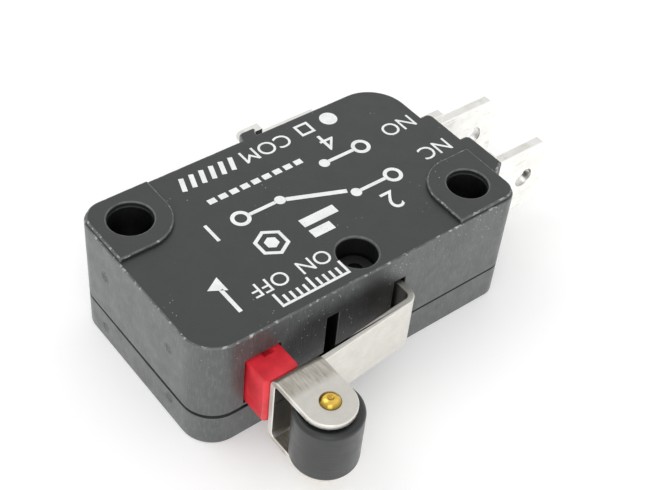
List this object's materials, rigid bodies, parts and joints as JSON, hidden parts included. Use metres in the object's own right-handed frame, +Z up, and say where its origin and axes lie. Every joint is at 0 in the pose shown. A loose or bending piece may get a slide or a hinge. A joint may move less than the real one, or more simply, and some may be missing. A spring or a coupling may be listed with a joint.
{
  "type": "lever micro switch",
  "caption": "basic snap-action switch with a hinged roller lever, a push button plunger, flat quick-connect tabs and two mounting holes across corners",
  "frame": {"origin": "on the cover's outer face, which lies on the table, at the middle of the 27.8 x 15.9 mm rectangle the housing fills without its shrouds and boss", "axes": "+X along the housing towards the two end tabs, +Y from the lever's side to the common tab's side, +Z up through the thickness, away from the table"},
  "size_m": [0.0362, 0.026, 0.0103],
  "materials": {
    "black_thermoplastic": "satin moulded",
    "red_plastic": "smooth moulded",
    "stainless_sheet": "satin rolled, lightly scratched",
    "black_nylon": "satin turned",
    "brass_pin": "riveted",
    "tinned_brass": "bright tin plate",
    "silver_alloy": "polished",
    "spring_bronze": "rolled",
    "spring_steel": "drawn wire"
  },
  "bodies": {
    "housing": {"case": "black_thermoplastic", "cover": "black_thermoplastic", "com_terminal": "tinned_brass", "nc_terminal": "tinned_brass", "no_terminal": "tinned_brass", "nc_contact": "silver_alloy", "no_contact": "silver_alloy"},
    "plunger": {"plunger": "red_plastic"},
    "lever": {"lever": "stainless_sheet", "roller_pin": "brass_pin"},
    "roller": {"roller": "black_nylon"},
    "contact_arm": {"contact_arm": "spring_bronze", "moving_contact": "silver_alloy"},
    "snap_spring": {"snap_spring": "spring_steel"}
  },
  "joints": [
    {"name": "lever_swing", "type": "hinge", "parent": "housing", "child": "lever", "pos_m": [0.00267, -0.00685, 0.00498], "axis": [0, 0, -1], "range_deg": [0, 7.5], "stiffness_Nm_per_rad": 0.02, "springref_deg": -20.05},
    {"name": "plunger_travel", "type": "slide", "parent": "housing", "child": "plunger", "axis": [0, 1, 0], "range_m": [0, 0.00166]},
    {"name": "contact_swing", "type": "hinge", "parent": "housing", "child": "contact_arm", "pos_m": [-0.0044, 0.0011, 0.00515], "axis": [0, 0, 1], "range_deg": [0, 4.25]},
    {"name": "spring_swing", "type": "hinge", "parent": "plunger", "child": "snap_spring", "pos_m": [-0.009, 0.00095, 0.00515], "axis": [0, 0, -1], "range_deg": [0, 5.4]},
    {"name": "roller_spin", "type": "hinge", "parent": "lever", "child": "roller", "pos_m": [-0.00825, -0.01384, 0.00498], "axis": [0, 0, 1], "continuous": true}
  ],
  "couplings": [
    {"joint": "plunger_travel", "follows": "lever_swing", "m_per_rad": 0.0126},
    {"joint": "contact_swing", "follows": "lever_swing", "ratio": 0.56},
    {"joint": "spring_swing", "follows": "lever_swing", "ratio": 0.712}
  ]
}
